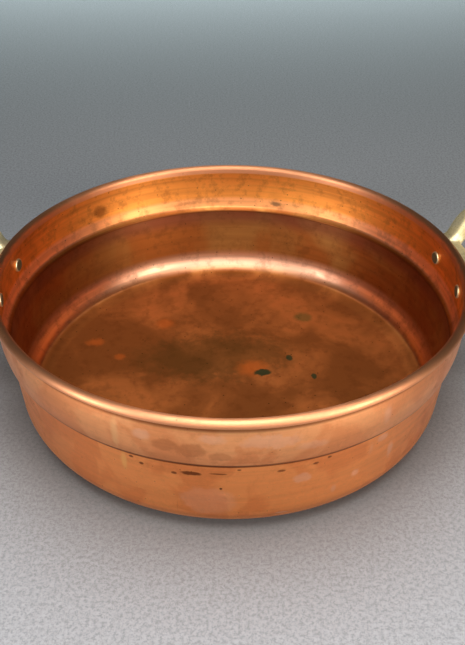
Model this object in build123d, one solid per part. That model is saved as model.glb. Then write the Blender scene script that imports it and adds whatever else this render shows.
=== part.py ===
"""Shallow round copper pan with a stepped side, a wired rim and two riveted cast handles.

The origin is on the floor under the pan's axis. +Z is up, +X points to the right and +Y to the rear.
Each handle sits a little to the rear of the X axis. Every size is in millimetres or degrees.
"""

import os
from math import radians, tan

from build123d import *

# Copper shell: one spun sheet, from the floor to the rolled rim.
rim_diameter = 280.0  # over the rolled rim
pan_height = 85.0  # underside of the floor to the top of the rolled rim
sheet = 1.2
floor_corner_radius = 16.4  # where the floor turns up into the lower wall, at mid sheet
wall_taper = 3.9  # degrees that the lower wall leans outwards
valley_radius = 1.2  # where the lower wall meets the step, at mid sheet
step_width = 2.6  # how far the upper band stands out from the lower wall
step_slope = 45.0  # degrees between the underside of the step and the floor
step_radius = 0.8  # where the step meets the band, at mid sheet
band_height = 31.5  # lower edge of the upper band to the top of the rolled rim
band_flare = 0.5  # how much wider the band is at its neck than at its lower edge
band_bulge = 1.7  # how far the band bows out between its lower edge and its neck
band_bow_share = 0.94  # of each half of the band, the share that its bow takes up
neck_radius = 5.0  # where the band turns upright under the rolled rim

# Wire in the rolled rim.
wire_diameter = 2.8
wire_fit = 0.02  # radial gap between the wire and the sheet rolled round it
curl_wrap = 295.0  # degrees of the wire that the sheet covers

# Cast handle: a foot plate on the band, a shelf along its top, and a grip loop.
handle_turn = 4.5  # degrees that each handle sits to the rear of the X axis
plate_width = 64.0  # across the pan's side
plate_step_gap = 3.7  # from the band's lower edge up to the plate's
plate_thickness = 5.0
plate_corner_radius = 8.0
shelf_depth = 12.5  # how far the shelf stands out from the band's widest point
shelf_thickness = 5.5
shelf_edge_radius = 1.5
rim_gap = 0.6  # between the underside of the rolled rim and the shelf
grip_width = 13.0  # width of the grip bar, measured in the loop's own plane
grip_thickness = 10.0
grip_edge_radius = 4.2
loop_tilt = 35.0  # degrees that the loop rises from the horizontal
loop_root_reach = 5.5  # from the band's widest point to the line where the loop's plane starts
loop_root_drop = 10.4  # that line's depth below the top of the rolled rim
leg_straight = 4.0  # from the root line to where each leg turns outwards
leg_flare = 16.5  # how far each leg then spreads sideways
leg_bend_radius = 13.0
shoulder_reach = 24.0  # from the root line to the loop's widest point
shoulder_radius = 16.0
grip_reach = 44.0  # from the root line to the middle of the grip bar
grip_inset = 15.0  # how far the grip bar's end lies inside the loop's widest point
grip_end_radius = 20.0
bend_share = 0.49  # the most of a run that the bend at one of its ends may take up

# Rivets: two through each foot plate and the copper band.
seat_gap = 0.03  # left between the copper, the foot plates and the rivet heads
rivet_spread = 8.4  # degrees round the pan from a handle's middle to each of its rivets
rivet_shelf_gap = 1.6  # between a rivet's outer head and the shelf above it
shank_diameter = 4.8
shank_fit = 0.02  # radial gap between a rivet's shank and its hole
inner_head_diameter = 8.4
inner_head_height = 1.1
outer_head_diameter = 8.4
outer_head_height = 2.2

# Places that follow from the sizes above. The shell's are at the middle of the sheet.
curl_radius = wire_diameter / 2 + wire_fit + sheet / 2
curl_outer_radius = curl_radius + sheet / 2
bead_r = rim_diameter / 2 - curl_outer_radius
bead_z = pan_height - curl_outer_radius
neck_r = bead_r - curl_radius
neck_z = bead_z - curl_outer_radius
step_r = neck_r - band_flare
step_z = pan_height - band_height
valley_r = step_r - step_width
valley_z = step_z - step_width * tan(radians(step_slope))
floor_z = sheet / 2
floor_r = valley_r - (valley_z - floor_z) * tan(radians(wall_taper))
band_r = (step_r + neck_r) / 2 + band_bulge
band_z = (step_z + neck_z) / 2
band_outer_r = band_r + sheet / 2
plate_r = band_outer_r + plate_thickness
shelf_top = bead_z - curl_outer_radius - rim_gap
plate_bottom = step_z + plate_step_gap
leg_y = (plate_width - grip_width) / 2
shoulder_y = leg_y + leg_flare
grip_end_y = shoulder_y - grip_inset
rivet_z = shelf_top - shelf_thickness - rivet_shelf_gap - outer_head_diameter / 2


def largest_bend(before, corner, after, share):
    """The largest radius at a corner whose arc takes up that share of the shorter run beside it."""
    arriving = Vector(corner) - Vector(before)
    leaving = Vector(after) - Vector(corner)
    turn = radians(arriving.get_angle(leaving))
    return share * min(arriving.length, leaving.length) / tan(turn / 2)


def shell_line():
    """The middle of the sheet, from the pan's axis to the top of the wall, where the curl starts."""
    step = (step_r, step_z)
    crown = (band_r + band_bulge, band_z)
    neck = (neck_r, neck_z)
    return FilletPolyline(
        (0, floor_z),
        (floor_r, floor_z),
        (valley_r, valley_z),
        step,
        crown,
        neck,
        (neck_r, bead_z),
        radius=[
            floor_corner_radius,
            valley_radius,
            step_radius,
            largest_bend(step, crown, neck, band_bow_share),
            neck_radius,
        ],
    )


def shell_blank(thickness):
    """The copper shell, before its rivet holes are made, from a sheet of that thickness."""
    curl = CenterArc((bead_r, bead_z), curl_radius, 180, -curl_wrap)
    section = trace(shell_line(), thickness) + trace(curl, thickness)
    return revolve(Plane.XZ * section, Axis.Z)


def shell_core():
    """Everything inside the middle of the sheet, and the rolled rim filled."""
    side = shell_line()
    top = Polyline((neck_r, bead_z), (0, bead_z), (0, floor_z))
    bead = Pos(bead_r, bead_z) * Circle(curl_outer_radius)
    inside = make_face([*side.edges(), *top.edges()])
    return revolve(Plane.XZ * inside, Axis.Z) + revolve(Plane.XZ * bead, Axis.Z)


def foot_plate():
    """The plate that is riveted to the band. It still runs into the pan's wall."""
    height = shelf_top - plate_bottom
    outline = RectangleRounded(height, plate_width, plate_corner_radius)
    blank = Pos(0, 0, plate_bottom + height / 2) * Rot(0, 90, 0) * outline
    return extrude(blank, plate_r) & Cylinder(plate_r, 2 * pan_height)


def shelf():
    """The ledge along the plate's top, which carries the loop and stiffens the plate."""
    outer_r = band_outer_r + shelf_depth
    middle_z = shelf_top - shelf_thickness / 2
    ring = Pos(0, 0, middle_z) * Cylinder(outer_r, shelf_thickness)
    ring = fillet(ring.edges().filter_by(GeomType.CIRCLE), shelf_edge_radius)
    return ring & Pos(outer_r / 2, 0, middle_z) * Box(outer_r, plate_width, shelf_thickness)


def grip_loop():
    """The loop that the hand holds, as a flat casting with rounded edges in a tilted plane."""
    buried = plate_thickness + loop_root_reach + grip_thickness
    half = [
        (-buried, leg_y),
        (leg_straight, leg_y),
        (shoulder_reach, shoulder_y),
        (grip_reach, grip_end_y),
    ]
    points = half + [(reach, -across) for reach, across in reversed(half)]
    wanted = [leg_bend_radius, shoulder_radius, grip_end_radius]
    corners = zip(points, points[1:], points[2:])
    bends = [
        min(radius, largest_bend(*corner, bend_share))
        for radius, corner in zip(wanted + wanted[::-1], corners)
    ]
    path = FilletPolyline(*points, radius=bends)
    bar = extrude(trace(path, grip_width), grip_thickness / 2, both=True)
    rims = bar.faces().sort_by(Axis.Z)
    bar = fillet(rims[0].edges() + rims[-1].edges(), grip_edge_radius)
    root = Pos(band_outer_r + loop_root_reach, 0, pan_height - loop_root_drop)
    return root * Rot(0, -loop_tilt, 0) * bar


def handle_blank(seat):
    """A handle on the X axis before its rivet holes are made, trimmed to its seat on the band.

    The loop springs from the shelf, and nothing of it hangs below, where the rivet heads sit.
    """
    under_shelf = Pos(0, 0, shelf_top - shelf_thickness) * Box(
        4 * plate_r, 4 * plate_r, pan_height, align=(Align.CENTER, Align.CENTER, Align.MAX)
    )
    return foot_plate() + shelf() + (grip_loop() - under_shelf) - seat - shell_core()


def rivet_places():
    """Where the rivets sit: the front and the rear of each handle, with their angles round the pan."""
    return {
        "right_front": handle_turn - rivet_spread,
        "right_rear": handle_turn + rivet_spread,
        "left_rear": 180 - handle_turn - rivet_spread,
        "left_front": 180 - handle_turn + rivet_spread,
    }


def outwards(angle):
    """A place on the pan's axis at the rivets' height, with its Z pointing out at that angle."""
    return Pos(0, 0, rivet_z) * Rot(0, 0, angle) * Rot(0, 90, 0)


def rivet_hole(angle):
    """The hole for one rivet, through the band and the foot plate."""
    length = 2 * (plate_thickness + sheet)
    hole = Cylinder(shank_diameter / 2 + shank_fit, length)
    return outwards(angle) * Pos(0, 0, band_outer_r) * hole


def dome(diameter, height, seat_depth):
    """A round head on the XY plane, with a short skirt below it that is trimmed to its seat."""
    radius = diameter / 2
    ball = (radius**2 + height**2) / (2 * height)
    cap = Pos(0, 0, height - ball) * Sphere(ball)
    keep = Cylinder(radius, height + seat_depth, align=(Align.CENTER, Align.CENTER, Align.MIN))
    skirt = Cylinder(radius, seat_depth, align=(Align.CENTER, Align.CENTER, Align.MAX))
    return (cap & keep) + skirt


def rivet(angle, seat):
    """One rivet: a low head inside the pan, the shank, and the hammered head on the plate."""
    inner_r = band_r - sheet / 2
    inner_head = dome(inner_head_diameter, inner_head_height, sheet / 2)
    outer_head = dome(outer_head_diameter, outer_head_height, sheet / 2)
    length = plate_r - inner_r + outer_head_height / 2
    shank = Cylinder(shank_diameter / 2, length, align=(Align.CENTER, Align.CENTER, Align.MIN))
    plate_seat = Cylinder(plate_r + seat_gap, 2 * pan_height)
    inner_head = outwards(angle) * Pos(0, 0, inner_r) * Rot(180, 0, 0) * inner_head - seat
    outer_head = outwards(angle) * Pos(0, 0, plate_r) * outer_head - plate_seat
    return inner_head + outwards(angle) * Pos(0, 0, inner_r) * shank + outer_head


def rim_wire():
    """The wire that the rim is rolled round."""
    return Pos(0, 0, bead_z) * Torus(bead_r, wire_diameter / 2)


def save(solid, name):
    """Writes one piece to its own file."""
    export_step(solid, f"parts/{name}.step")


os.makedirs("parts", exist_ok=True)

holes = [rivet_hole(angle) for angle in rivet_places().values()]
seat = shell_blank(sheet + 2 * seat_gap)
handle = handle_blank(seat)
handle_right = Rot(0, 0, handle_turn) * handle - holes
handle_left = Rot(0, 0, 180 - handle_turn) * handle - holes

save(shell_blank(sheet) - holes, "pan_body")
save(rim_wire(), "rim_wire")
save(handle_left, "handle_left")
save(handle_right, "handle_right")
for place, angle in rivet_places().items():
    save(rivet(angle, seat), f"rivet_{place}")
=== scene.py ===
"""Round copper preserving pan with a stepped side and two riveted brass handles, dressed for rendering."""

import math

import bmesh
import bpy
from bpy.props import FloatProperty, FloatVectorProperty, IntProperty, PointerProperty, StringProperty
from mathutils import Matrix, Vector, noise


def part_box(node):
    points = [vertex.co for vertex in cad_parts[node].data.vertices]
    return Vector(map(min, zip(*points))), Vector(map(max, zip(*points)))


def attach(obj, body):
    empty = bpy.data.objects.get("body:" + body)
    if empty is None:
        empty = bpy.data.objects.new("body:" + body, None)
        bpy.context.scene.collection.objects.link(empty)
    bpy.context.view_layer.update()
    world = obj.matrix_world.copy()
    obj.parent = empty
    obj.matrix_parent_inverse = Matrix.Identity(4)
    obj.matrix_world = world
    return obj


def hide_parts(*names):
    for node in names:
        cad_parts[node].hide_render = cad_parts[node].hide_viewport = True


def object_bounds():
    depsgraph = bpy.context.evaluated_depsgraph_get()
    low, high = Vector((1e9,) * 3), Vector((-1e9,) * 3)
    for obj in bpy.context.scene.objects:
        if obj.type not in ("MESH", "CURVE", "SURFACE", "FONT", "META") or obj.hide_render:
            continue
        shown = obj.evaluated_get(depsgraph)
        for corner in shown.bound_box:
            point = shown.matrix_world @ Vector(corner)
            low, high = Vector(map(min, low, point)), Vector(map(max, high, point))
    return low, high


bl_info = {
    "name": "Copper Preserving Pan",
    "version": (1, 0, 0),
    "blender": (4, 5, 0),
    "location": "View3D > Sidebar > Copper Pan",
    "description": "Builds the spun shell, rim wire, cast handles and rivets of a copper pan",
    "category": "Object",
}

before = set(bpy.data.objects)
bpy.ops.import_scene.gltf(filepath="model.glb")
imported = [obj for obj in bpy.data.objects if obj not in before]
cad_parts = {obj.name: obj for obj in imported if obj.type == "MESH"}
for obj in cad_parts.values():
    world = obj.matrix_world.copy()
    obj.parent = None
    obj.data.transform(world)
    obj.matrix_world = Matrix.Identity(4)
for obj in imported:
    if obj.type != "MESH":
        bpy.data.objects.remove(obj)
cad_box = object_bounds()
MM = 0.001
TURN = 2 * math.pi
shell_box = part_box("pan_body")
wire_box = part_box("rim_wire")
band_height = 31.5 * MM
# Heights that the copper's finish follows: the floor, the band's lower edge and the top of the rolled rim.
floor_level = shell_box[0].z
step_level = shell_box[1].z - band_height
rim_level = shell_box[1].z
# Settings of the shader nodes that are used most.
TIMES = {"operation": "MULTIPLY"}
TIMES_PLUS = {"operation": "MULTIPLY_ADD"}
SMOOTH = {"interpolation_type": "SMOOTHSTEP"}
BLEND = {"data_type": "RGBA"}


# Sizes and colours that a user would change.


class PanShellSizes(bpy.types.PropertyGroup):
    """Sizes of the spun copper shell, measured at the middle of its sheet"""

    sheet: FloatProperty(name="Sheet", description="Thickness of the copper", default=1.2 * MM, unit="LENGTH")
    floor_corner: FloatProperty(
        name="Floor corner", description="Radius from the floor to the wall", default=16.4 * MM, unit="LENGTH"
    )
    wall_taper: FloatProperty(
        name="Wall taper", description="Outward lean of the lower wall",
        default=math.radians(3.9), unit="ROTATION",
    )
    valley: FloatProperty(
        name="Valley", description="Radius between the wall and the step", default=1.2 * MM, unit="LENGTH"
    )
    step_width: FloatProperty(
        name="Step width", description="How far the band stands out from the wall",
        default=2.6 * MM, unit="LENGTH",
    )
    step_slope: FloatProperty(
        name="Step slope", description="Slope of the step's underside",
        default=math.radians(45), unit="ROTATION",
    )
    step: FloatProperty(
        name="Step", description="Radius between the step and the band", default=0.8 * MM, unit="LENGTH"
    )
    band_height: FloatProperty(
        name="Band height", description="Its lower edge to the rim's top", default=band_height, unit="LENGTH"
    )
    band_flare: FloatProperty(
        name="Band flare", description="Extra radius at the band's neck", default=0.5 * MM, unit="LENGTH"
    )
    band_bulge: FloatProperty(
        name="Band bulge", description="How far the band bows outwards", default=1.7 * MM, unit="LENGTH"
    )
    band_bow_share: FloatProperty(
        name="Bow share", description="Share of the band that is bowed", default=0.94
    )
    neck: FloatProperty(name="Neck", description="Radius under the rolled rim", default=5 * MM, unit="LENGTH")
    wire_fit: FloatProperty(
        name="Wire fit", description="Gap between the wire and the rolled sheet",
        default=0.02 * MM, unit="LENGTH",
    )
    curl_wrap: FloatProperty(
        name="Curl", description="How far the sheet is rolled round its wire",
        default=math.radians(295), unit="ROTATION",
    )
    wobble: FloatProperty(
        name="Wobble", description="How far the used sheet wanders from a true round",
        default=0.22 * MM, unit="LENGTH",
    )
    segments: IntProperty(name="Segments", description="Faces round the pan", default=384, min=48)


class HandleSizes(bpy.types.PropertyGroup):
    """How the cast handles and their rivets are worn and finished"""

    voxel: FloatProperty(
        name="Voxel", description="Grid that the casting is remade on", default=0.62 * MM, unit="LENGTH"
    )
    wear_passes: IntProperty(
        name="Wear", description="Smoothing passes that round the casting", default=16, min=0
    )
    casting_swell: FloatProperty(
        name="Swell", description="Height of the uneven skin left by the sand mould",
        default=0.16 * MM, unit="LENGTH",
    )
    rivet_pin: FloatProperty(
        name="Rivet seat", description="Flat left round each rivet", default=5.2 * MM, unit="LENGTH"
    )
    inner_head: FloatProperty(
        name="Inner head", description="Diameter of the head inside the pan", default=8.4 * MM, unit="LENGTH"
    )
    inner_height: FloatProperty(
        name="Inner head height", description="Height of the head inside the pan",
        default=1.1 * MM, unit="LENGTH",
    )
    outer_head: FloatProperty(
        name="Outer head", description="Diameter of the head on the handle", default=8.4 * MM, unit="LENGTH"
    )
    outer_height: FloatProperty(
        name="Outer head height", description="Height of the head on the handle",
        default=2.2 * MM, unit="LENGTH",
    )
    shank: FloatProperty(
        name="Shank", description="Diameter of the rivet's shank", default=4.8 * MM, unit="LENGTH"
    )


class FinishColours(bpy.types.PropertyGroup):
    """Colours of the metals and of what time has left on them, as sRGB hex values"""

    inside_floor: StringProperty(
        name="Inside floor", description="Copper of the floor inside", default="#96562A"
    )
    inside_floor_film: StringProperty(
        name="Inside floor film", description="Film on the floor inside", default="#5E3214"
    )
    inside_wall: StringProperty(
        name="Inside wall", description="Copper of the lower wall inside", default="#AC753C"
    )
    inside_film: StringProperty(
        name="Inside film", description="Film on the lower wall inside", default="#94491B"
    )
    inside_band: StringProperty(
        name="Inside band", description="Copper of the band inside", default="#F69E48"
    )
    inside_bead: StringProperty(
        name="Inside bead", description="Copper of the rolled rim from inside", default="#C88A66"
    )
    underside: StringProperty(name="Underside", description="Copper of the floor outside", default="#F09A5C")
    underside_film: StringProperty(
        name="Underside film", description="Film on the floor outside", default="#BE6A36"
    )
    outside_wall: StringProperty(
        name="Outside wall", description="Copper of the lower wall outside", default="#FB9E5C"
    )
    outside_film: StringProperty(
        name="Outside film", description="Film on the lower wall outside", default="#D0703C"
    )
    outside_band: StringProperty(
        name="Outside band", description="Copper of the band outside", default="#FBAA70"
    )
    outside_bead: StringProperty(
        name="Outside bead", description="Copper of the rolled rim from outside", default="#CC8E6C"
    )
    # This dark colour is also laid as painted shade under the rolled rim and in the fold under the band.
    oxide: StringProperty(name="Oxide", description="Thick dark oxide on copper", default="#5A2C12")
    pit: StringProperty(
        name="Pit", description="Reddish oxide in the pits of the lower wall", default="#5E2E14"
    )
    soot: StringProperty(name="Soot", description="Nearly black specks and grime", default="#1E120A")
    # This pale colour is laid as rubbed copper in marks, and also as painted highlight and reflection on the
    # inner floor corner and the band's foot.
    bloom_and_sheen: StringProperty(
        name="Bloom", description="Pale pinkish bloom of freshly rubbed copper", default="#F3B898"
    )
    steam: StringProperty(
        name="Steam", description="Purplish film that steam dries to under the step", default="#6E3A30"
    )
    verdigris: StringProperty(name="Verdigris", description="Dark olive copper salts", default="#26301C")
    brass: StringProperty(name="Brass", description="Pale cast brass", default="#EADCB2")
    brass_film: StringProperty(name="Brass film", description="Dull tarnish on brass", default="#C4B280")
    brass_pit: StringProperty(
        name="Brass pit", description="Dirt in the brass casting's pits", default="#6A5832"
    )
    patina: StringProperty(
        name="Patina", description="Greenish brown patina on rivet heads", default="#4A3C20"
    )
    iron: StringProperty(name="Iron", description="Drawn iron wire", default="#4D4642")
    rust: StringProperty(name="Rust", description="Rust bloom on the wire", default="#5B2F1A")
    floor: StringProperty(name="Floor", description="Plain pale paper floor", default="#858688")
    shade: StringProperty(
        name="Shade", description="Shade on the floor where the pan stands", default="#34322F"
    )


class StageSettings(bpy.types.PropertyGroup):
    """Camera place and the strength of the lights"""

    camera_place: FloatVectorProperty(
        name="Camera", description="Where the camera stands",
        default=(-17.25 * MM, -411.67 * MM, 333.75 * MM),
        subtype="TRANSLATION",
    )
    camera_turn: FloatProperty(
        name="Turn", description="Camera's turn about the vertical",
        default=math.radians(-2.56), unit="ROTATION",
    )
    camera_tilt: FloatProperty(
        name="Tilt", description="Camera's tilt up from straight down",
        default=math.radians(54.68), unit="ROTATION",
    )
    camera_roll: FloatProperty(
        name="Roll", description="Camera's roll about its own view",
        default=math.radians(0.34), unit="ROTATION",
    )
    camera_lens: FloatProperty(name="Lens", description="Focal length in millimetres", default=45.31)
    overhead: FloatProperty(name="Overhead", description="Overhead soft light", default=6.2, unit="POWER")
    front: FloatProperty(name="Front", description="Soft light behind the camera", default=10.0, unit="POWER")
    rear: FloatProperty(name="Rear", description="Soft light on the floor behind", default=10.0, unit="POWER")
    right_window: FloatProperty(
        name="Right window", description="Soft light at the front right", default=20.0, unit="POWER"
    )
    left_window: FloatProperty(
        name="Left window", description="Soft light at the front left", default=16.0, unit="POWER"
    )
    room: FloatProperty(name="Room", description="Brightness of the grey room", default=0.07)


# Small helpers.


def linear(hex_colour):
    """An sRGB hex colour as linear RGBA."""
    parts = [int(hex_colour[i : i + 2], 16) / 255 for i in (1, 3, 5)]
    return (*[c / 12.92 if c <= 0.04045 else ((c + 0.055) / 1.055) ** 2.4 for c in parts], 1.0)


def add(tree, kind, inputs=(), **settings):
    """Adds a shader node and fills its live inputs, by name from a dict or in order from a sequence.

    A value is a number, a colour, a socket, or a node whose first live output is used.
    """
    made = tree.nodes.new("ShaderNode" + kind)
    for name, value in settings.items():
        setattr(made, name, value)
    live = [socket for socket in made.inputs if socket.enabled]
    if isinstance(inputs, dict):
        pairs = [(next(socket for socket in live if socket.name == name), inputs[name]) for name in inputs]
    else:
        pairs = zip(live, inputs)
    for socket, value in pairs:
        if isinstance(value, bpy.types.Node):
            value = next(output for output in value.outputs if output.enabled)
        if isinstance(value, bpy.types.NodeSocket):
            tree.links.new(value, socket)
        else:
            socket.default_value = value
    return made


def across(size):
    """The scale of a pattern whose parts are that many millimetres across."""
    return 1 / (size * MM)


def ramp(value, start, length):
    """0 up to start, then rising evenly to 1 over that length."""
    return min(1.0, max(0.0, (value - start) / length))


def above(level, *offsets):
    """Heights that lie so many millimetres above a level, or below it where they are negative."""
    return [level + offset * MM for offset in offsets]


def new_material(name):
    """An empty node material and its tree."""
    material = bpy.data.materials.new(name)
    material.use_nodes = True
    material.node_tree.nodes.clear()
    return material, material.node_tree


def link_object(name, mesh, *materials):
    """A new object in the scene, smooth shaded, with its materials."""
    piece = bpy.data.objects.new(name, mesh)
    bpy.context.scene.collection.objects.link(piece)
    for material in materials:
        mesh.materials.append(material)
    mesh.polygons.foreach_set("use_smooth", [True] * len(mesh.polygons))
    return piece


# The spun shell's shape.


def rounded_line(corners, radii, spacing):
    """Points along straight runs joined by tangent arcs."""
    points = [Vector(corners[0])]
    for before, corner, after, radius in zip(corners, corners[1:], corners[2:], radii):
        before, corner, after = Vector(before), Vector(corner), Vector(after)
        arriving, leaving = (corner - before).normalized(), (after - corner).normalized()
        turn = arriving.angle_signed(leaving)
        reach = radius * math.tan(abs(turn) / 2)
        start, side = corner - arriving * reach, math.copysign(1, -turn)
        centre = start + Vector((-arriving.y, arriving.x)) * radius * side
        add_run(points, start, spacing)
        steps = max(6, math.ceil(radius * abs(turn) / (0.6 * spacing)))
        for i in range(1, steps + 1):
            spoke = start - centre
            spoke.rotate(Matrix.Rotation(side * abs(turn) * i / steps, 2))
            points.append(centre + spoke)
    add_run(points, Vector(corners[-1]), spacing)
    return points


def add_run(points, end, spacing):
    """Adds evenly spaced points from the last one to the end of a straight run."""
    start = points[-1].copy()
    steps = max(1, math.ceil((end - start).length / spacing))
    points.extend(start.lerp(end, i / steps) for i in range(1, steps + 1))


def largest_bend(before, corner, after, share):
    """The largest radius at a corner whose arc takes up that share of the shorter run beside it."""
    arriving, leaving = Vector(corner) - Vector(before), Vector(after) - Vector(corner)
    return share * min(arriving.length, leaving.length) / math.tan(arriving.angle(leaving) / 2)


def shell_middle(sizes):
    """The middle of the sheet, from the axis to the end of the curl."""
    wire_r = (wire_box[1].z - wire_box[0].z) / 2
    bead = Vector((wire_box[1].x - wire_r, (wire_box[1].z + wire_box[0].z) / 2))
    curl_r = wire_r + sizes.wire_fit + sizes.sheet / 2
    neck = Vector((bead.x - curl_r, bead.y - curl_r - sizes.sheet / 2))
    step = Vector((neck.x - sizes.band_flare, shell_box[1].z - sizes.band_height))
    valley = step - Vector((sizes.step_width, sizes.step_width * math.tan(sizes.step_slope)))
    floor_z = shell_box[0].z + sizes.sheet / 2
    floor_r = valley.x - (valley.y - floor_z) * math.tan(sizes.wall_taper)
    crown = (step + neck) / 2 + Vector((2 * sizes.band_bulge, 0))
    corners = [(0, floor_z), (floor_r, floor_z), valley, step, crown, neck, (neck.x, bead.y)]
    bow = largest_bend(step, crown, neck, sizes.band_bow_share)
    radii = [sizes.floor_corner, sizes.valley, sizes.step, bow, sizes.neck]
    wall = rounded_line(corners, radii, 1.6 * MM)
    steps = 40
    curl = [
        bead + Vector((math.cos(a), math.sin(a))) * curl_r
        for a in (math.pi - sizes.curl_wrap * i / steps for i in range(1, steps + 1))
    ]
    return wall + curl


def shell_section(sizes):
    """The sheet's outline from the axis inside, over the rim, to the axis outside: (point, run, side)."""
    middle = shell_middle(sizes)
    half = sizes.sheet / 2
    runs = [0.0]
    for a, b in zip(middle, middle[1:]):
        runs.append(runs[-1] + (b - a).length)
    normals = []
    for i in range(len(middle)):
        along = (middle[min(i + 1, len(middle) - 1)] - middle[max(i - 1, 0)]).normalized()
        normals.append(Vector((-along.y, along.x)))
    normals[0] = Vector((0, 1))
    inner = [(p + n * half, run, 0) for p, n, run in zip(middle, normals, runs)]
    outer = [(p - n * half, run, 1) for p, n, run in zip(middle, normals, runs)]
    end, n = middle[-1], normals[-1]
    along = Vector((n.y, -n.x))
    lip = [
        (end + (n * math.cos(a) + along * math.sin(a)) * half, runs[-1], 0)
        for a in (math.pi * i / 8 for i in range(1, 8))
    ]
    return inner + lip + outer[::-1]


def shell_wander(point, angle, sizes):
    """How the sheet strays at a place: inwards only, and least beside the handles."""
    around = Vector((math.cos(angle), math.sin(angle), 0))
    free_of_handles = ramp(abs(around.y), 0.28, 0.35)
    height = point.y / shell_box[1].z
    # A few broad waves round the wall, with ripples over them. They die out towards the middle of the floor.
    wall = 0.5 + 0.5 * noise.noise(around * 1.7 + Vector((3.1, 0.4, height * 0.9)))
    ripple = 0.5 + 0.5 * noise.noise(around * 5.2 + Vector((7.7, 2.2, height * 2.2)))
    inwards = sizes.wobble * (0.7 * wall + 0.3 * ripple) * free_of_handles * ramp(point.x, 0, 60 * MM)
    # The flat of the floor rises in patches about 60 mm across.
    spot = around * point.x
    sag = 0.5 + 0.5 * noise.noise(spot * 17 + Vector((1.3, 5.9, 0.2)))
    flat = ramp(115 * MM - point.x, 0, 30 * MM)
    return Vector((point.x - inwards, point.y + 1.6 * sizes.wobble * sag * flat))


def shell_mesh(sizes):
    """The section spun round the axis. The attribute run is each vertex's distance along the sheet."""
    section = shell_section(sizes)
    rows, count = section[1:-1], sizes.segments
    top, bottom = section[0][0], section[-1][0]
    vertices = [(0, 0, shell_wander(top, 0, sizes).y)]
    runs = [0.0]
    for point, run, _ in rows:
        for i in range(count):
            angle = TURN * i / count
            at = shell_wander(point, angle, sizes)
            vertices.append((at.x * math.cos(angle), at.x * math.sin(angle), at.y))
            runs.append(run)
    vertices.append((0, 0, shell_wander(bottom, 0, sizes).y))
    runs.append(0.0)
    faces, slots = [], []
    last = len(vertices) - 1
    for i in range(count):
        j = (i + 1) % count
        faces.append((0, 1 + i, 1 + j))
        slots.append(0)
        for row in range(len(rows) - 1):
            a, b = 1 + row * count, 1 + (row + 1) * count
            faces.append((a + i, b + i, b + j, a + j))
            slots.append(rows[row + 1][2])
        a = 1 + (len(rows) - 1) * count
        faces.append((a + i, last, a + j))
        slots.append(1)
    mesh = bpy.data.meshes.new("pan_shell")
    mesh.from_pydata(vertices, [], faces)
    mesh.polygons.foreach_set("material_index", slots)
    mesh.attributes.new("run", "FLOAT", "POINT").data.foreach_set("value", runs)
    mesh.update()
    return mesh


# Copper finishes.


def copper_places(tree):
    """The sockets that every copper finish reads: place, x, y, height, and distance along the sheet."""
    place = add(tree, "TexCoord").outputs["Object"]
    parts = add(tree, "SeparateXYZ", (place,))
    run = add(tree, "Attribute", attribute_name="run").outputs["Fac"]
    return place, parts.outputs["X"], parts.outputs["Y"], parts.outputs["Z"], run


def spun(tree, x, y, run, around, along):
    """Texture space drawn out round the pan: one unit is `around` metres round it, `along` metres up it."""
    sx = add(tree, "Math", (x, 1 / around), **TIMES)
    sy = add(tree, "Math", (y, 1 / around), **TIMES)
    sr = add(tree, "Math", (run, 1 / along), **TIMES)
    return add(tree, "CombineXYZ", (sx, sy, sr))


def stained(tree, place, base, marks):
    """Lays marks over a base colour: (place in mm, size in mm, stretch, edge, strength, colour)."""
    # A mark's ragged edge has tongues about 5 mm across, and they reach out by most of the mark's size.
    torn_edge = {"Scale": across(4.762), "Detail": 4.0, "Roughness": 0.65}
    ragged = add(tree, "TexNoise", {"Vector": place, **torn_edge})
    raggedness = 0.9
    shift = add(tree, "VectorMath", (ragged.outputs["Color"], (0.5, 0.5, 0.5)), operation="SUBTRACT")
    for at, size, stretch, edge, strength, colour in marks:
        moved = add(tree, "VectorMath", (shift, (size * raggedness * MM,) * 3, place), **TIMES_PLUS)
        offset = add(tree, "VectorMath", (moved, Vector(at) * MM), operation="SUBTRACT")
        scaled = add(tree, "VectorMath", (offset, tuple(1 / (size * s * MM) for s in stretch)), **TIMES)
        reach = add(tree, "VectorMath", (scaled,), operation="LENGTH").outputs["Value"]
        cover = add(tree, "MapRange", (reach, 1.0, edge, 0.0, strength), **SMOOTH)
        base = add(tree, "Mix", (cover, base, linear(colour)), **BLEND)
    return base


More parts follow.
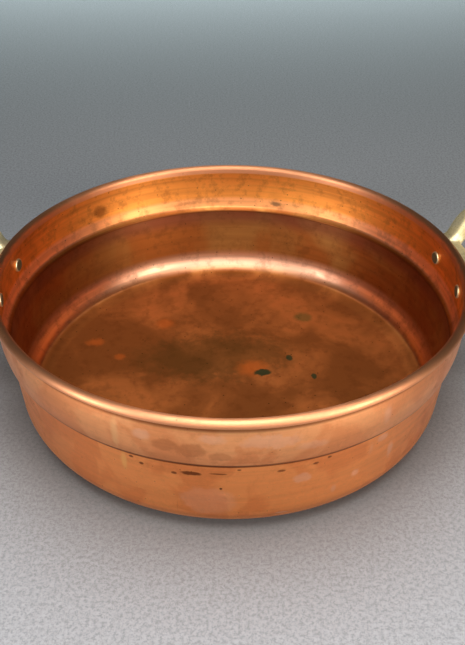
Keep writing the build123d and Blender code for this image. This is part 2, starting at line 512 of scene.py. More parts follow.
def copper_patterns(tree, finish):
    """The patterns that a copper finish is made of, by name."""
    place, x, y, z, run = copper_places(tree)
    # Real rings are about 0.4 mm apart; they are drawn 1.1 mm and 3.4 mm apart so that they still show.
    fine, coarse = spun(tree, x, y, run, 60 * MM, 1.1 * MM), spun(tree, x, y, run, 110 * MM, 3.4 * MM)
    rings = add(tree, "TexNoise", {"Vector": fine, "Scale": 1.0, "Detail": 2.0, "Roughness": 0.6})
    bands = add(tree, "TexNoise", {"Vector": coarse, "Scale": 1.0, "Detail": 3.0, "Roughness": 0.55})
    # Clouds of film, as many millimetres across as the finish says, with a fairly sharp tide edge.
    cloudy = {"Scale": across(finish["cloud"]), "Detail": 5.0, "Roughness": 0.5, "Distortion": 0.6}
    cloud = add(tree, "TexNoise", {"Vector": place, **cloudy})
    dry, wet = finish["tide"] - finish["tide_edge"], finish["tide"] + finish["tide_edge"]
    # Mottling, 9 mm across.
    mottle = add(tree, "TexNoise", {"Vector": place, "Scale": across(9.09), "Detail": 7.0, "Roughness": 0.68})
    # Specks about 0.6 mm across, in cells of 5 mm, most of them left empty.
    cells = add(tree, "TexVoronoi", {"Vector": place, "Scale": across(4.762)})
    cell_value = add(tree, "SeparateColor", (cells.outputs["Color"],))
    chosen = add(tree, "MapRange", (cell_value, 0.62, 0.7), **SMOOTH)
    dot = add(tree, "MapRange", (cells.outputs["Distance"], 0.05, 0.13, 1.0, 0.0), **SMOOTH)
    return {
        "place": place, "y": y, "z": z, "rings": rings, "bands": bands,
        "film": add(tree, "MapRange", (cloud, dry, wet), **SMOOTH),
        "oxide": add(tree, "MapRange", (mottle, 0.47, 0.66), **SMOOTH),
        "speck": add(tree, "Math", (dot, chosen), **TIMES),
    }


def copper_zones(tree, pattern, finish):
    """Where on the pan each state of its finish lies, by name, as shares from 0 to 1."""
    y, z = pattern["y"], pattern["z"]
    # Above the step the band is rubbed bright; the film lies thicker below it, and dullest on the floor.
    step_rise, floor_rise = above(step_level, -1.3, 0.7), above(floor_level, 2, 7)
    band = add(tree, "MapRange", (z, *step_rise), **SMOOTH)
    wall = add(tree, "MapRange", (z, *floor_rise), **SMOOTH)
    # Scouring keeps the rounded corner between the floor and the wall cleaner than either, and the corner is
    # also lightened as a painted highlight, most at the rear.
    corner_foot = add(tree, "MapRange", (z, *above(floor_level, 3.5, 9)), **SMOOTH)
    corner_top = add(tree, "MapRange", (z, *above(floor_level, 12, 20), 1.0, 0.0), **SMOOTH)
    corner = add(tree, "Math", (corner_foot, corner_top), **TIMES)
    rearwards = add(
        tree, "MapRange", (y, -30 * MM, 75 * MM, 0.25 * finish["corner"], finish["corner"]), **SMOOTH
    )
    corner = add(tree, "Math", (corner, rearwards), **TIMES)
    thickness = add(tree, "MapRange", (z, *step_rise, finish["film"], finish["band_film"]), **SMOOTH)
    film = add(tree, "Math", (pattern["film"], thickness), **TIMES)
    film = add(tree, "Math", (film, add(tree, "Math", (1.0, corner), operation="SUBTRACT")), **TIMES)
    # A pale strip painted at the foot of the band, just above the step, is a painted reflection, weaker at
    # the rear.
    foot_top = add(tree, "MapRange", (z, *above(step_level, 5, 8), finish["foot"], 0.0), **SMOOTH)
    foot = add(tree, "Math", (band, foot_top), **TIMES)
    forwards = add(tree, "MapRange", (y, 60 * MM, 115 * MM, 1.0, 0.3), **SMOOTH)
    foot = add(tree, "Math", (foot, forwards), **TIMES)
    # A purplish film hangs on the top of the lower wall, where steam dries under the step.
    steam_foot = add(tree, "MapRange", (z, *above(step_level, -17.5, -6.5)), **SMOOTH)
    steam_top = add(tree, "MapRange", (z, *above(step_level, -3.5, -2.1), finish["steam"], 0.0), **SMOOTH)
    # The rings hold oxide, and little of it on the floor.
    depth = add(tree, "MapRange", (z, *floor_rise, 0.35 * finish["bands"], finish["bands"]), **SMOOTH)
    grooves = add(tree, "MapRange", (pattern["bands"], 0.35, 0.7), **SMOOTH)
    # Polish never reaches the fold under the band, so grime stays in it; the dark line laid there is also
    # painted shade of the crease.
    low, high = finish["fold_span"]
    fold_foot = add(tree, "MapRange", (z, *above(step_level, low - 1, low)), **SMOOTH)
    fold_top = add(tree, "MapRange", (z, *above(step_level, high, high + 1), 1.0, 0.0), **SMOOTH)
    fold_grime_and_shade = add(tree, "Math", (fold_foot, fold_top), **TIMES)
    fold_strength = add(tree, "MapRange", (pattern["bands"], 0.2, 0.6, 0.6, 1.0), **SMOOTH)
    fold_strength = add(tree, "Math", (fold_strength, finish["fold_grime_and_shade"]), **TIMES)
    # Under the rolled rim a dark line is laid as grime and as painted shade of the gap under the bead.
    grime_and_shade_under_rim, bead = above(rim_level, -9.6, -7.6), above(rim_level, -5.6, -4.4)
    return {
        "band": band, "wall": wall, "corner": corner, "film": film, "foot": foot,
        "steam": add(tree, "Math", (steam_foot, steam_top), **TIMES),
        "grooves": add(tree, "Math", (grooves, depth), **TIMES),
        "oxide": add(tree, "Math", (pattern["oxide"], finish["oxide"]), **TIMES),
        "specks": add(tree, "Math", (pattern["speck"], finish["specks"]), **TIMES),
        "grime_and_shade_under_rim": add(tree, "MapRange", (z, *grime_and_shade_under_rim, 0.0, finish["grime_and_shade_under_rim"]), **SMOOTH),
        "bead": add(tree, "MapRange", (z, *bead, 0.0, 0.85), **SMOOTH),
        "fold_grime_and_shade": add(tree, "Math", (fold_grime_and_shade, fold_strength), **TIMES),
    }


def copper_colour(tree, colours, finish, zone):
    """The colour of the sheet before its stains: bare metal, film, then what gathers over it, and painted
    highlight, reflection and shade.
    """
    bare = add(tree, "Mix", (zone["wall"], linear(finish["floor_base"]), linear(finish["base"])), **BLEND)
    bare = add(tree, "Mix", (zone["band"], bare, linear(finish["band_base"])), **BLEND)
    tarnish = add(
        tree, "Mix", (zone["wall"], linear(finish["floor_film"]), linear(finish["film_colour"])), **BLEND
    )
    colour = add(tree, "Mix", (zone["film"], bare, tarnish), **BLEND)
    scoured_and_highlit = add(tree, "Math", (zone["corner"], 0.9), **TIMES)
    for share, over in (
        # Scoured copper and a painted highlight along the floor corner.
        (scoured_and_highlit, colours.bloom_and_sheen),
        # Painted reflection at the foot of the band.
        (zone["foot"], colours.bloom_and_sheen),
        (zone["steam"], colours.steam),
        (zone["grooves"], colours.oxide),
        (zone["oxide"], colours.oxide),
        (zone["specks"], colours.soot),
        # Grime and painted shade under the rolled rim.
        (zone["grime_and_shade_under_rim"], colours.oxide),
        (zone["bead"], finish["bead"]),
        # Grime and painted shade in the fold under the band.
        (zone["fold_grime_and_shade"], colours.oxide),
    ):
        colour = add(tree, "Mix", (share, colour, linear(over)), **BLEND)
    return colour


def spun_copper(name, colours, finish, marks):
    """Spun and tarnished copper sheet.

    The spinning tool leaves fine rings, so highlights stretch across them. A thin oxide film lies in
    clouds with tide marks, and darker oxide, specks and stains gather over it, with painted highlight,
    reflection and shade.
    """
    material, tree = new_material(name)
    pattern = copper_patterns(tree, finish)
    zone = copper_zones(tree, pattern, finish)
    colour = stained(tree, pattern["place"], copper_colour(tree, colours, finish, zone), marks)
    step_rise = above(step_level, -1.3, 0.7)
    rough = add(tree, "MapRange", (pattern["z"], *step_rise, finish["rough"], finish["band_rough"]), **SMOOTH)
    duller_floor = finish["floor_rough"] - finish["rough"]
    rough = add(tree, "Math", (rough, duller_floor), operation="ADD")
    rough = add(tree, "Math", (zone["wall"], -duller_floor, rough), **TIMES_PLUS)
    for share, change in (
        (zone["film"], finish["film_rough"]),
        (zone["corner"], -0.1),
        (zone["foot"], -0.1),
        (pattern["oxide"], 0.06),
        (pattern["speck"], 0.3),
    ):
        rough = add(tree, "Math", (share, change, rough), **TIMES_PLUS)
    # Shallow dents 26 mm apart, and the tool's rings.
    dented = {"Scale": across(26.32), "Detail": 2.0, "Roughness": 0.45}
    dents = add(tree, "TexNoise", {"Vector": pattern["place"], **dented})
    bump = None
    for height, depth in (
        (dents, finish["dents"]),
        (pattern["bands"], finish["band_depth"]),
        (pattern["rings"], finish["ring_depth"]),
    ):
        under = {"Normal": bump} if bump else {}
        bump = add(tree, "Bump", {"Height": height, "Distance": depth * MM, **under})
    # The floor was scoured to and fro, so its highlights stretch one way and don't fan out from the middle.
    turned = add(tree, "Tangent", direction_type="RADIAL", axis="Z")
    around = add(tree, "Mix", (zone["wall"], (1, 0, 0), turned), data_type="VECTOR")
    metal = {
        "Base Color": colour, "Roughness": rough, "Normal": bump, "Tangent": around, "Metallic": 1.0,
        "Anisotropic": finish["aniso"], "Anisotropic Rotation": 0.25,
    }
    add(tree, "OutputMaterial", (add(tree, "BsdfPrincipled", metal),))
    return material


def inside_copper(colours):
    """Spun copper, used and wiped: warm brown film, olive and green stains on the floor."""
    finish = {
        "floor_base": colours.inside_floor, "floor_film": colours.inside_floor_film,
        "base": colours.inside_wall, "film_colour": colours.inside_film,
        "band_base": colours.inside_band, "bead": colours.inside_bead,
        "cloud": 48, "tide": 0.46, "tide_edge": 0.13, "film": 0.8, "band_film": 0.25,
        "bands": 0.25, "oxide": 0.35, "specks": 0.7, "corner": 0.8, "foot": 0.75, "steam": 0.6,
        "fold_grime_and_shade": 0.8, "fold_span": (-2.9, -2.3), "grime_and_shade_under_rim": 0.0,
        "floor_rough": 0.56, "rough": 0.42, "band_rough": 0.48, "film_rough": 0.08,
        "dents": 0.25, "band_depth": 0.03, "ring_depth": 0.012, "aniso": 0.65,
    }
    heated = "#B8581E"
    # Place and size in millimetres, stretch, edge, strength and colour of each mark.
    marks = [
        ((-10, 18, 1), 46, (1.5, 0.7, 1), 0.45, 0.5, "#3A2A10"),
        ((15, 5, 1), 12, (1.2, 1, 1), 0.3, 0.45, heated),
        ((21, 0, 1), 5.2, (1.3, 0.8, 1), 0.6, 0.95, colours.verdigris),
        ((40, 15, 1), 3.0, (1, 1.3, 1), 0.6, 0.9, colours.verdigris),
        ((54, -5, 1), 2.8, (0.8, 1.2, 1), 0.6, 0.9, colours.verdigris),
        ((54, 62, 1), 7, (1.2, 1, 1), 0.5, 0.6, "#4A4420"),
        ((-91, 37, 1), 7, (1.3, 0.8, 1), 0.3, 0.35, heated),
        ((-73, 20, 1), 5, (1, 1, 1), 0.3, 0.35, heated),
        ((-44, 57, 1), 8, (1.2, 1, 1), 0.3, 0.35, heated),
        ((39, 130, 57), 4, (1.6, 1, 0.6), 0.4, 0.75, "#5C4632"),
        ((-88, 104, 66), 6, (1.4, 1, 1), 0.4, 0.6, "#6B3A18"),
    ]
    return spun_copper("spun_copper_wiped_inside", colours, finish, marks)


def outside_copper(colours):
    """Spun copper, polished and handled: salmon satin under thin tarnish, pitted below the step."""
    finish = {
        "floor_base": colours.underside, "floor_film": colours.underside_film,
        "base": colours.outside_wall, "film_colour": colours.outside_film,
        "band_base": colours.outside_band, "bead": colours.outside_bead,
        "cloud": 30, "tide": 0.52, "tide_edge": 0.05, "film": 0.45, "band_film": 0.4,
        "bands": 0.12, "oxide": 0.16, "specks": 0.5, "corner": 0.0, "foot": 0.0, "steam": 0.0,
        "fold_grime_and_shade": 0.9, "fold_span": (-3.3, -0.1), "grime_and_shade_under_rim": 0.75,
        "floor_rough": 0.45, "rough": 0.36, "band_rough": 0.33, "film_rough": 0.06,
        "dents": 0.25, "band_depth": 0.02, "ring_depth": 0.008, "aniso": 0.35,
    }
    dulled = "#A8613A"
    marks = [
        ((-36, -132, 66), 6, (1.3, 1, 0.8), 0.6, 0.4, dulled),
        ((-24, -135, 64), 7, (1.3, 1, 0.8), 0.6, 0.42, dulled),
        ((-10, -136, 61), 5, (1.5, 1, 0.7), 0.6, 0.35, dulled),
        ((-48, -129, 70), 5, (1.2, 1, 0.8), 0.5, 0.4, colours.bloom_and_sheen),
        ((-14, -136, 72), 5, (1.6, 1, 0.7), 0.5, 0.35, colours.bloom_and_sheen),
        ((14, -137, 70), 10, (1.8, 1, 0.5), 0.6, 0.35, colours.bloom_and_sheen),
        ((34, -133, 64), 6, (1.8, 1, 0.6), 0.5, 0.3, colours.bloom_and_sheen),
        # The next two bright upright streaks are painted highlights.
        ((-61, -124, 60), 3, (1, 1, 9), 0.3, 0.5, "#FFC98C"),
        ((-58, -119, 43), 2.5, (1, 1, 3.5), 0.3, 0.6, "#FFC070"),
        ((-16, -129, 24), 11, (1.5, 1, 1.1), 0.7, 0.2, colours.bloom_and_sheen),
        ((-32, -126, 22), 1.1, (0.6, 1, 10), 0.3, 0.35, "#A05028"),
        ((73, -117, 67), 3, (1.2, 1, 3), 0.4, 0.35, colours.bloom_and_sheen),
        ((68, -115, 40), 2.6, (0.8, 1, 3.2), 0.4, 0.4, colours.bloom_and_sheen),
        ((80, -105, 32), 3.4, (0.8, 1, 2.4), 0.4, 0.45, colours.bloom_and_sheen),
        ((60, -117, 28), 2.2, (1.8, 1, 1.6), 0.3, 0.4, colours.bloom_and_sheen),
        ((48, -121, 22), 1.8, (1.4, 1, 2.4), 0.3, 0.4, colours.bloom_and_sheen),
        ((22, -128, 12), 1.6, (4, 1, 0.5), 0.3, 0.5, "#F6D2B8"),
        ((44, -121, 14), 1.4, (3, 1, 0.6), 0.3, 0.45, "#F6D2B8"),
        ((-25, -130, 44), 2.2, (3.4, 1, 0.8), 0.6, 0.85, colours.pit),
        ((-33, -128, 43), 1.2, (1.6, 1, 0.9), 0.6, 0.8, colours.pit),
        ((-49, -123, 45), 1.1, (1.5, 1, 1), 0.6, 0.8, colours.pit),
        ((-54, -121, 48), 1.0, (1.8, 1, 1), 0.6, 0.8, colours.pit),
        ((-12, -132, 45), 0.9, (7, 1, 0.8), 0.6, 0.7, colours.pit),
        ((-1, -133, 48), 1.0, (1.5, 1, 1), 0.6, 0.7, colours.pit),
        ((20, -131, 45), 1.1, (2.5, 1, 1), 0.6, 0.7, colours.pit),
        ((37, -127, 46), 1.0, (2, 1, 1), 0.6, 0.7, colours.pit),
        ((44, -125, 48), 1.0, (1.5, 1, 1), 0.6, 0.7, colours.pit),
        ((-10, -131, 34), 0.9, (1, 1, 1), 0.6, 0.95, colours.soot),
        ((31, -128, 37), 5, (1.3, 1, 0.8), 0.6, 0.4, colours.bloom_and_sheen),
        ((74, -110, 46), 4, (1.2, 1, 0.8), 0.6, 0.4, colours.bloom_and_sheen),
    ]
    return spun_copper("spun_copper_polished_outside", colours, finish, marks)


# Brass and iron finishes.


def sand_cast_brass(colours):
    """Sand-cast brass, filed and handled: pale and satin, speckled with dirt in the casting's pits."""
    material, tree = new_material("sand_cast_brass")
    place = add(tree, "TexCoord").outputs["Object"]
    # Tarnish wears off in patches 14 mm across.
    wear = add(tree, "TexNoise", {"Vector": place, "Scale": across(14.29), "Detail": 5.0, "Roughness": 0.6})
    # The sand's grain is about 1 mm across, with pits of about 0.5 mm.
    grain = add(tree, "TexNoise", {"Vector": place, "Scale": across(1.111), "Detail": 3.0, "Roughness": 0.6})
    cells = add(tree, "TexVoronoi", {"Vector": place, "Scale": across(2.083)})
    cell_value = add(tree, "SeparateColor", (cells.outputs["Color"],))
    chosen = add(tree, "MapRange", (cell_value, 0.5, 0.6), **SMOOTH)
    dot = add(tree, "MapRange", (cells.outputs["Distance"], 0.08, 0.24, 1.0, 0.0), **SMOOTH)
    pit = add(tree, "Math", (dot, chosen), **TIMES)
    tarnish = add(tree, "MapRange", (wear, 0.4, 0.68, 0.0, 0.75), **SMOOTH)
    dirt = add(tree, "MapRange", (grain, 0.5, 0.75, 0.0, 0.35), **SMOOTH)
    filled = add(tree, "Math", (pit, 0.7), **TIMES)
    colour = add(tree, "Mix", (tarnish, linear(colours.brass), linear(colours.brass_film)), **BLEND)
    colour = add(tree, "Mix", (dirt, colour, linear(colours.brass_pit)), **BLEND)
    colour = add(tree, "Mix", (filled, colour, linear(colours.brass_pit)), **BLEND)
    rough = add(tree, "MapRange", (wear, 0.3, 0.7, 0.5, 0.66), **SMOOTH)
    bump = add(tree, "Bump", {"Height": grain, "Distance": 0.06 * MM})
    pitted = {"Height": pit, "Distance": 0.12 * MM, "Normal": bump}
    bump = add(tree, "Bump", pitted, invert=True)
    metal = {"Base Color": colour, "Roughness": rough, "Normal": bump, "Metallic": 1.0}
    add(tree, "OutputMaterial", (add(tree, "BsdfPrincipled", metal),))
    return material


def hammered_brass(colours):
    """Hammered brass rivet: bright where it is rubbed at the rim, dark patina settled in the middle."""
    material, tree = new_material("hammered_brass_rivet")
    place = add(tree, "TexCoord").outputs["Object"]
    parts = add(tree, "SeparateXYZ", (place,))
    flat = add(tree, "CombineXYZ", (parts.outputs["X"], parts.outputs["Y"]))
    reach = add(tree, "VectorMath", (flat,), operation="LENGTH").outputs["Value"]
    # Hammer facets are about 2 mm across, and the grime between them about 1.7 mm.
    blows = add(tree, "TexVoronoi", {"Vector": place, "Scale": across(1.923)}, feature="SMOOTH_F1")
    grime = add(tree, "TexNoise", {"Vector": place, "Scale": across(1.667), "Detail": 4.0, "Roughness": 0.6})
    ragged = add(tree, "Math", (grime, 1.2 * MM, reach), **TIMES_PLUS)
    patina = add(tree, "MapRange", (ragged, 3.7 * MM, 4.6 * MM, 0.93, 0.15), **SMOOTH)
    colour = add(tree, "Mix", (patina, linear(colours.brass), linear(colours.patina)), **BLEND)
    rough = add(tree, "MapRange", (grime, 0.3, 0.7, 0.35, 0.5), **SMOOTH)
    rough = add(tree, "Math", (patina, 0.25, rough), **TIMES_PLUS)
    bump = add(tree, "Bump", {"Height": blows.outputs["Distance"], "Distance": 0.12 * MM})
    metal = {"Base Color": colour, "Roughness": rough, "Normal": bump, "Metallic": 1.0}
    add(tree, "OutputMaterial", (add(tree, "BsdfPrincipled", metal),))
    return material


def drawn_iron(colours):
    """Drawn iron wire, dull grey with rust bloom, seen only in the slot under the rolled rim."""
    material, tree = new_material("drawn_iron_wire")
    place = add(tree, "TexCoord").outputs["Object"]
    # Rust in blotches 4 mm across.
    blotch = add(tree, "TexNoise", {"Vector": place, "Scale": across(3.846), "Detail": 5.0, "Roughness": 0.6})
    rusted = add(tree, "MapRange", (blotch, 0.45, 0.6), **SMOOTH)
    colour = add(tree, "Mix", (rusted, linear(colours.iron), linear(colours.rust)), **BLEND)
    rough = add(tree, "MapRange", (blotch, 0.35, 0.65, 0.45, 0.85), **SMOOTH)
    bump = add(tree, "Bump", {"Height": blotch, "Distance": 0.05 * MM})
    metal = {"Base Color": colour, "Roughness": rough, "Normal": bump, "Metallic": 0.8}
    add(tree, "OutputMaterial", (add(tree, "BsdfPrincipled", metal),))
    return material


# Cast handles.


def baked(piece):
    """The piece's mesh with its modifiers applied; the modifiers are removed."""
    bpy.context.view_layer.update()
    mesh = bpy.data.meshes.new_from_object(piece.evaluated_get(bpy.context.evaluated_depsgraph_get()))
    piece.modifiers.clear()
    return mesh


def rivet_axes(side):
    """Where the rivets' axes run for one handle: direction from the pan's axis, and height."""
    axes = []
    for place in ("front", "rear"):
        low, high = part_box(f"rivet_{side}_{place}")
        middle = (low + high) / 2
        axes.append((Vector((middle.x, middle.y, 0)).normalized(), middle.z))
    return axes


def wear_share(at, seat_r, axes, pin):
    """How much a place on the casting wears round: not at all on its seat or beside the rivets."""
    out = math.hypot(at.x, at.y)
    share = ramp(out - seat_r, 0.4 * MM, 1.2 * MM)
    for direction, height in axes:
        along = at.dot(direction)
        off = math.hypot((at - direction * along).xy.length, at.z - height)
        share = min(share, ramp(off, pin, 2 * MM))
    return share


def cast_handle(side, sizes, seat_r):
    """The handle as it left the mould: remade from its CAD node, worn round, and given an uneven skin."""
    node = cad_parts[f"handle_{side}"]
    piece = link_object(f"cast_handle_{side}", node.data.copy())
    piece.data.materials.clear()
    welded = bmesh.new()
    welded.from_mesh(piece.data)
    bmesh.ops.remove_doubles(welded, verts=welded.verts, dist=0.002 * MM)
    welded.to_mesh(piece.data)
    welded.free()
    remesh = piece.modifiers.new("skin", "REMESH")
    remesh.mode = "VOXEL"
    remesh.voxel_size = sizes.voxel
    piece.data = baked(piece)
    axes = rivet_axes(side)
    group = piece.vertex_groups.new(name="wear")
    for vertex in piece.data.vertices:
        group.add([vertex.index], wear_share(vertex.co, seat_r, axes, sizes.rivet_pin), "REPLACE")
    smooth = piece.modifiers.new("wear", "SMOOTH")
    smooth.factor = 0.5
    smooth.iterations = sizes.wear_passes
    smooth.vertex_group = "wear"
    piece.data = baked(piece)
    skin = Vector((0.3, 4.1, 7.9)) if side == "left" else Vector((5.2, 1.7, 2.6))
    # The skin swells in lumps about 10 mm across, with others of about 3 mm between them.
    lumps, grains = 95, 310
    normals = [v.normal.copy() for v in piece.data.vertices]
    for vertex, normal in zip(piece.data.vertices, normals):
        share = wear_share(vertex.co, seat_r, axes, sizes.rivet_pin)
        swell = noise.noise(vertex.co * lumps + skin) + 0.4 * noise.noise(vertex.co * grains + skin)
        vertex.co += normal * (swell - 0.5) * sizes.casting_swell * share
    piece.data.update()
    piece.data.polygons.foreach_set("use_smooth", [True] * len(piece.data.polygons))
    return piece


# Rivets.


def rivet_outline(length, sizes):
    """Half the rivet's outline, as (radius, height), from the tip of the inner head to the outer one's."""
    inner_r, outer_r, shank_r = sizes.inner_head / 2, sizes.outer_head / 2, sizes.shank / 2
    # The inner head is pressed nearly flat, with a small rolled shoulder.
    tip, shoulder, shoulder_height, shoulder_low, sunk = 0.12 * MM, 0.9 * MM, 0.62 * MM, 0.02 * MM, 0.25 * MM
    points = [(0, tip)]
    steps = 8
    for i in range(1, steps + 1):
        a = math.pi / 2 * i / steps
        height = shoulder_height * (1 - math.cos(a)) + shoulder_low
        points.append((inner_r - shoulder * (1 - math.sin(a)), height))
    points += [(inner_r, sizes.inner_height + sunk), (shank_r, sizes.inner_height + sunk)]
    # The outer head is hammered to a low dome with a flattened crown, over a thin rounded edge.
    edge, skirt, steps = 0.15 * MM, 0.2 * MM, 12
    seat = length - sizes.outer_height
    points += [(shank_r, seat - skirt), (outer_r - edge, seat - skirt), (outer_r, seat + edge)]
    for i in range(1, steps + 1):
        a = math.pi / 2 * i / steps
        rise = (sizes.outer_height - edge) * math.sin(a) ** 0.9
        points.append((outer_r * math.cos(a) ** 0.8, seat + edge + rise))
    return [(max(r, 0.0), h) for r, h in points]


def rivet_mesh(name, length, sizes, seed):
    """The rivet's outline spun round its own axis, each head slightly out of true from hammering."""
    outline = rivet_outline(length, sizes)
    count, out_of_true = 48, 0.16 * MM
    vertices, faces = [(0, 0, outline[0][1])], []
    for radius, height in outline[1:-1]:
        for i in range(count):
            a = TURN * i / count
            dent = 0.5 + 0.5 * noise.noise(Vector((math.cos(a), math.sin(a), seed)) * 1.6)
            out = radius - out_of_true * dent
            vertices.append((out * math.cos(a), out * math.sin(a), height))
    vertices.append((0, 0, outline[-1][1]))
    last, rows = len(vertices) - 1, len(outline) - 2
    for i in range(count):
        j = (i + 1) % count
        faces.append((0, 1 + j, 1 + i))
        for row in range(rows - 1):
            a, b = 1 + row * count, 1 + (row + 1) * count
            faces.append((a + i, a + j, b + j, b + i))
        a = 1 + (rows - 1) * count
        faces.append((a + i, a + j, last))
    mesh = bpy.data.meshes.new(name)
    mesh.from_pydata(vertices, [], faces)
    mesh.update()
    return mesh


# The stage's paper.


def matt_paper(colours):
    """Matt grey paper: speckled by its tooth, and darker in the shade that gathers where the pan stands."""
    material, tree = new_material("matt_paper")
    place = add(tree, "TexCoord").outputs["Object"]
    # Real tooth is much finer; it is drawn about 2 mm across, in clumps of 4 mm, so that it shows.
    tooth = add(tree, "TexNoise", {"Vector": place, "Scale": across(1.923), "Detail": 3.0, "Roughness": 0.85})
    clump = add(tree, "TexNoise", {"Vector": place, "Scale": across(4.167), "Detail": 3.0, "Roughness": 0.6})
    tone = linear(colours.floor)
    darker = tuple(c * 0.62 for c in tone[:3]) + (1.0,)
    raised = add(tree, "MapRange", (tooth, 0.36, 0.58), **SMOOTH)
    clumped = add(tree, "MapRange", (clump, 0.3, 0.7, 0.25, 0.0), **SMOOTH)
    speckled = add(tree, "Mix", (raised, darker, tone), **BLEND)
    speckled = add(tree, "Mix", (clumped, speckled, darker), **BLEND)
    near = add(tree, "AmbientOcclusion", {"Distance": 0.3}, samples=8)
    shade = add(tree, "MapRange", (near.outputs["AO"], 0.4, 0.98, 0.85, 0.0), **SMOOTH)
    shaded = add(tree, "Mix", (shade, speckled, linear(colours.shade)), **BLEND)
    shader = add(tree, "BsdfPrincipled", {"Base Color": shaded, "Roughness": 0.9})
    add(tree, "OutputMaterial", (shader,))
    return material


# Operators, one for each piece or group of like pieces.


class PAN_OT_shell(bpy.types.Operator):
    """Spin the copper shell with its rolled rim"""

    bl_idname = "pan.shell"
    bl_label = "Spun copper shell"

    def execute(self, context):
        colours = context.scene.pan_colours
        shell = link_object(
            "spun_shell", shell_mesh(context.scene.pan_shell), inside_copper(colours), outside_copper(colours)
        )
        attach(shell, "root")
        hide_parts("pan_body")
        return {"FINISHED"}


class PAN_OT_wire(bpy.types.Operator):
    """Give the wire in the rolled rim its drawn iron finish"""

    bl_idname = "pan.wire"
    bl_label = "Rim wire"

    def execute(self, context):
        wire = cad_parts["rim_wire"]
        wire.data.materials.clear()
        wire.data.materials.append(drawn_iron(context.scene.pan_colours))
        return {"FINISHED"}


class PAN_OT_handles(bpy.types.Operator):
    """Cast the two brass handles"""

    bl_idname = "pan.handles"
    bl_label = "Cast handles"

    def execute(self, context):
        scene = context.scene
        brass = sand_cast_brass(scene.pan_colours)
        seat_r = shell_box[1].x - (wire_box[1].z - wire_box[0].z)
        for side in ("left", "right"):
            handle = cast_handle(side, scene.pan_handles, seat_r)
            handle.data.materials.append(brass)
            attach(handle, "root")
            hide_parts(f"handle_{side}")
        return {"FINISHED"}


class PAN_OT_rivets(bpy.types.Operator):
    """Set the four rivets that hold the handles"""

    bl_idname = "pan.rivets"
    bl_label = "Rivets"

    def execute(self, context):
        sizes = context.scene.pan_handles
        metal = hammered_brass(context.scene.pan_colours)
        for seed, (side, place) in enumerate((s, p) for s in ("left", "right") for p in ("front", "rear")):
            node = f"rivet_{side}_{place}"
            low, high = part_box(node)
            middle = (low + high) / 2
            angle = math.atan2(middle.y, middle.x)
            reach = sorted(abs(x / math.cos(angle)) for x in (low.x, high.x))
            mesh = rivet_mesh(node, reach[1] - reach[0], sizes, seed * 3.7)
            rivet = link_object(node + "_hammered", mesh, metal)
            outwards = Vector((math.cos(angle), math.sin(angle), 0))
            rivet.matrix_world = Matrix.Translation(outwards * reach[0] + Vector((0, 0, middle.z))) @ (
                outwards.to_track_quat("Z", "Y").to_matrix().to_4x4()
            )
            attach(rivet, "root")
            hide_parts(node)
        return {"FINISHED"}


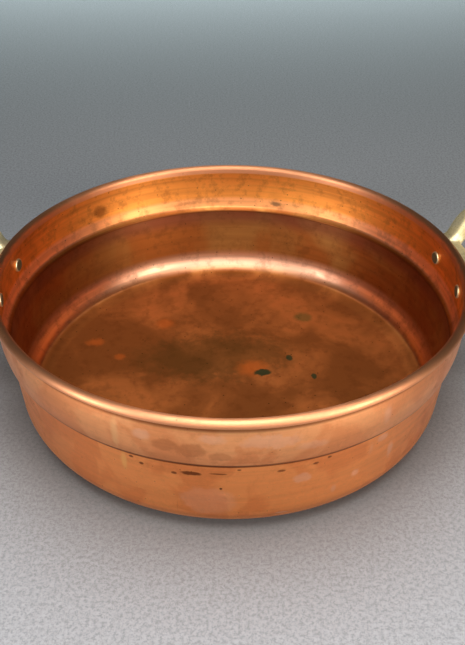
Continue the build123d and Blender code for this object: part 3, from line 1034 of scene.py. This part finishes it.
class PAN_OT_stage(bpy.types.Operator):
    """Lay the pale floor and set the soft lights and the camera"""

    bl_idname = "pan.stage"
    bl_label = "Stage"

    def execute(self, context):
        scene, stage = context.scene, context.scene.pan_stage
        mesh = bpy.data.meshes.new("floor")
        half, bottom = 4.0, cad_box[0].z
        corners = [(-half, -half, bottom), (half, -half, bottom), (half, half, bottom), (-half, half, bottom)]
        mesh.from_pydata(corners, [], [(0, 1, 2, 3)])
        link_object("floor", mesh, matt_paper(scene.pan_colours))
        # Name, place, target, size, colour and spread in degrees. Each one's power is a setting of that name.
        lights = [
            ("overhead", (0.0, -0.5, 1.2), (0, -0.35, 0), (1.2, 0.5), "#FFFFFF", 70),
            ("front", (0.0, -0.85, 0.5), (0, -0.1, 0.05), (1.8, 0.3), "#FFFFFF", 180),
            ("right_window", (1.05, -0.9, 0.38), (0.05, 0, 0.05), (0.6, 0.6), "#FFF8F0", 180),
            ("left_window", (-1.21, -0.75, 0.38), (-0.05, 0, 0.05), (0.35, 0.6), "#F8FAFF", 180),
            ("rear", (0.0, 1.5, 0.9), (0, 1.15, 0), (1.6, 0.3), "#DFF2F4", 75),
        ]
        for name, at, towards, size, colour, spread in lights:
            lamp = bpy.data.lights.new(name, "AREA")
            lamp.shape = "RECTANGLE"
            lamp.size, lamp.size_y = size
            lamp.spread = math.radians(spread)
            lamp.energy = getattr(stage, name)
            lamp.color = linear(colour)[:3]
            holder = bpy.data.objects.new(name, lamp)
            scene.collection.objects.link(holder)
            holder.location = at
            holder.rotation_euler = (Vector(towards) - Vector(at)).to_track_quat("-Z", "Y").to_euler()
        world = bpy.data.worlds.new("grey_room")
        world.use_nodes = True
        ground = world.node_tree.nodes["Background"]
        ground.inputs["Color"].default_value = linear("#BFD0D2")
        ground.inputs["Strength"].default_value = stage.room
        scene.world = world
        lens = bpy.data.cameras.new("camera")
        lens.lens, lens.sensor_width = stage.camera_lens, 36
        camera = bpy.data.objects.new("camera", lens)
        scene.collection.objects.link(camera)
        camera.matrix_world = (
            Matrix.Translation(stage.camera_place)
            @ Matrix.Rotation(stage.camera_turn, 4, "Z")
            @ Matrix.Rotation(stage.camera_tilt, 4, "X")
            @ Matrix.Rotation(stage.camera_roll, 4, "Z")
        )
        scene.camera = camera
        scene.view_settings.view_transform = "Standard"
        return {"FINISHED"}


class PAN_PT_sidebar(bpy.types.Panel):
    """Steps and settings of the copper pan"""

    bl_label = "Copper Pan"
    bl_idname = "PAN_PT_sidebar"
    bl_space_type = "VIEW_3D"
    bl_region_type = "UI"
    bl_category = "Copper Pan"

    def draw(self, context):
        for operator in OPERATORS:
            self.layout.operator(operator.bl_idname)
        for name in SETTINGS:
            group = getattr(context.scene, name)
            box = self.layout.box()
            for key in group.bl_rna.properties.keys():
                if key not in ("rna_type", "name"):
                    box.prop(group, key)


OPERATORS = (PAN_OT_shell, PAN_OT_wire, PAN_OT_handles, PAN_OT_rivets, PAN_OT_stage)
SETTINGS = {
    "pan_shell": PanShellSizes,
    "pan_handles": HandleSizes,
    "pan_colours": FinishColours,
    "pan_stage": StageSettings,
}


def register():
    """Registers the classes and hangs their settings on the scene."""
    for cls in (*SETTINGS.values(), *OPERATORS, PAN_PT_sidebar):
        bpy.utils.register_class(cls)
    for name, cls in SETTINGS.items():
        setattr(bpy.types.Scene, name, PointerProperty(type=cls))


def unregister():
    """Takes the settings off the scene and unregisters the classes."""
    for name in SETTINGS:
        delattr(bpy.types.Scene, name)
    for cls in (PAN_PT_sidebar, *OPERATORS, *SETTINGS.values()):
        bpy.utils.unregister_class(cls)


def main():
    """Builds every piece in order."""
    register()
    bpy.ops.pan.shell()
    bpy.ops.pan.wire()
    bpy.ops.pan.handles()
    bpy.ops.pan.rivets()
    bpy.ops.pan.stage()


if __name__ == "__main__":
    main()
